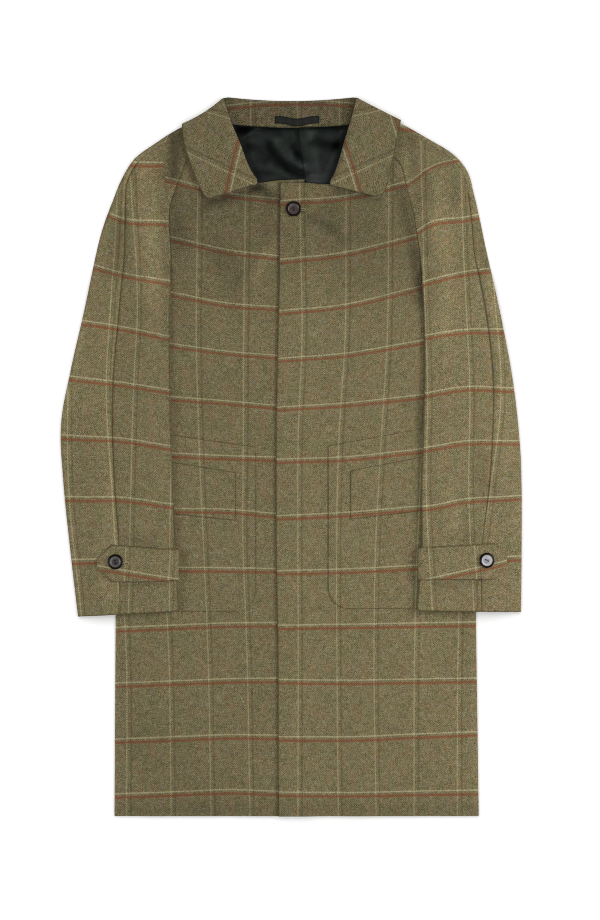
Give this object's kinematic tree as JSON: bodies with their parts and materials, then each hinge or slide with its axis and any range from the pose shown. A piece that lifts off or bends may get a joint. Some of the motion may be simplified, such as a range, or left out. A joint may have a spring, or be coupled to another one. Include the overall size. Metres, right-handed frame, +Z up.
{
  "type": "plaid wool overcoat laid flat",
  "caption": "Raglan overcoat in checked tweed, lying flat front up, with a fly front, turned-down collar, slanted welt pockets and buttoned cuff straps.",
  "frame": {"origin": "middle of the coat's outline, on the surface it lies on", "axes": "+X to the right as seen from above, +Y from hem to collar, +Z up out of the coat's front"},
  "size_m": [0.6682, 1.0426, 0.0224],
  "materials": {
    "tweed": "woolly herringbone tweed, olive and khaki with cream and rust windowpane lines",
    "lining": "dark green-black satin",
    "tape": "black ribbed tape",
    "horn": "dark brown horn look, satin, with a thick rim and sewing holes"
  },
  "bodies": {
    "root": {"back": "tweed", "front_left": "tweed", "front_right": "tweed", "sleeve_front_left": "tweed", "sleeve_front_right": "tweed", "sleeve_back_left": "tweed", "sleeve_back_right": "tweed", "collar_stand": "tweed", "collar_fall": "tweed", "hanger_loop": "tape", "lining_left": "lining", "lining_right": "lining", "pocket_patch_left": "tweed", "pocket_patch_right": "tweed", "pocket_welt_left": "tweed", "pocket_welt_right": "tweed", "cuff_strap_left": "tweed", "cuff_strap_right": "tweed", "button_top": "horn", "button_cuff_left": "horn", "button_cuff_right": "horn"}
  },
  "joints": []
}
